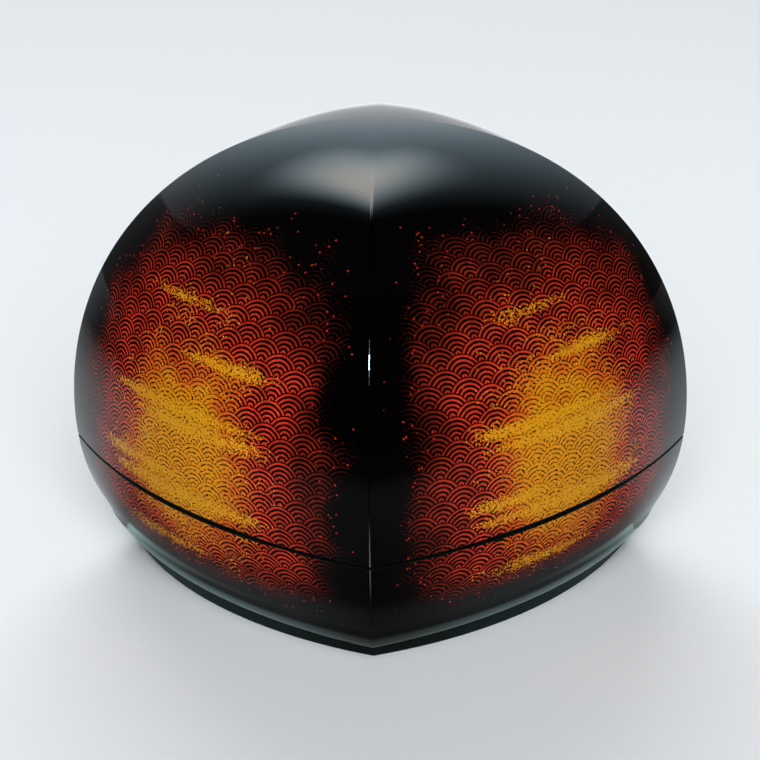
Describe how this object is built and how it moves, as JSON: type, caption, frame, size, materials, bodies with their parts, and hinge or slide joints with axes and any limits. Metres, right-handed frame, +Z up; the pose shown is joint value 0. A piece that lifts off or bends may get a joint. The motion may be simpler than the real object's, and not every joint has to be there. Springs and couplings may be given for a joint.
{
  "type": "lacquer box",
  "caption": "Domed box of four bowed sides and sharp ridges, with a lift-off lid that seats over an inner collar on a shallow base with a low foot.",
  "frame": {"origin": "middle of the level face that the foot strips stand on", "axes": "+Z up through the crown; the four sides face +X, -X, +Y and -Y and the ridges lie on the diagonals"},
  "size_m": [0.253, 0.253, 0.219],
  "materials": {
    "decorated_lacquer": "glossy lacquer: black ground fading to vermilion, orange and gold on each side",
    "black_lacquer": "glossy black lacquer",
    "inner_lacquer": "satin black lacquer"
  },
  "bodies": {
    "base": {"base_shell": "decorated_lacquer", "floor_board": "inner_lacquer", "collar_strip_right": "black_lacquer", "collar_strip_back": "black_lacquer", "collar_strip_left": "black_lacquer", "collar_strip_front": "black_lacquer", "foot_strip_right": "black_lacquer", "foot_strip_back": "black_lacquer", "foot_strip_left": "black_lacquer", "foot_strip_front": "black_lacquer"},
    "lid": {"lid_shell": "decorated_lacquer", "lid_mouth_strip_right": "inner_lacquer", "lid_mouth_strip_back": "inner_lacquer", "lid_mouth_strip_left": "inner_lacquer", "lid_mouth_strip_front": "inner_lacquer"}
  },
  "joints": [
    {"name": "lid_lift", "type": "slide", "parent": "base", "child": "lid", "axis": [0, 0, 1], "range_m": [0, 0.15]}
  ]
}
